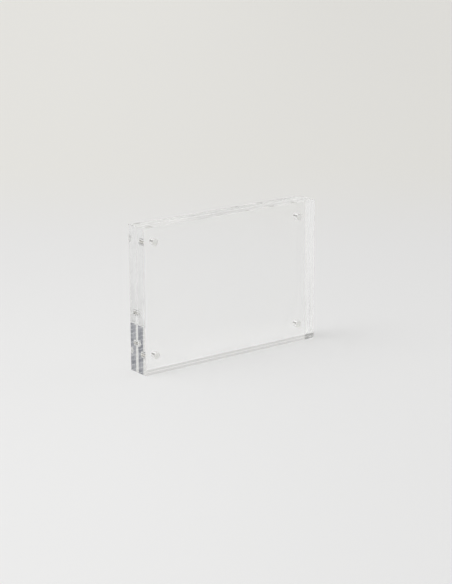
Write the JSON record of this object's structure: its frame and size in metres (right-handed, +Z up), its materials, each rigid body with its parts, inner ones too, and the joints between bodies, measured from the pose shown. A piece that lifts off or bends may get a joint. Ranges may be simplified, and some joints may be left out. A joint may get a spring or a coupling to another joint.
{
  "type": "photo frame",
  "caption": "Self-standing clear block photo frame: thick acrylic blocks that corner magnets clamp face to face over a print.",
  "frame": {"origin": "centre of the base, in the plane where the two blocks meet", "axes": "+X along the width to the right as the frame is looked at from the front, +Y from front to back, +Z up"},
  "size_m": [0.165, 0.0202, 0.115],
  "materials": {
    "clear_acrylic": "polished",
    "nickel_plating": "gloss",
    "white_adhesive": "satin"
  },
  "bodies": {
    "back": {"back_block": "clear_acrylic", "back_magnet_top_left": "nickel_plating", "back_magnet_top_right": "nickel_plating", "back_magnet_bottom_left": "nickel_plating", "back_magnet_bottom_right": "nickel_plating", "back_adhesive_top_left": "white_adhesive", "back_adhesive_top_right": "white_adhesive", "back_adhesive_bottom_left": "white_adhesive", "back_adhesive_bottom_right": "white_adhesive"},
    "front": {"front_block": "clear_acrylic", "front_magnet_top_left": "nickel_plating", "front_magnet_top_right": "nickel_plating", "front_magnet_bottom_left": "nickel_plating", "front_magnet_bottom_right": "nickel_plating", "front_adhesive_top_left": "white_adhesive", "front_adhesive_top_right": "white_adhesive", "front_adhesive_bottom_left": "white_adhesive", "front_adhesive_bottom_right": "white_adhesive"}
  },
  "joints": [
    {"name": "front_block_pull_off", "type": "slide", "parent": "back", "child": "front", "axis": [0, -1, 0], "range_m": [0, 0.05]}
  ]
}
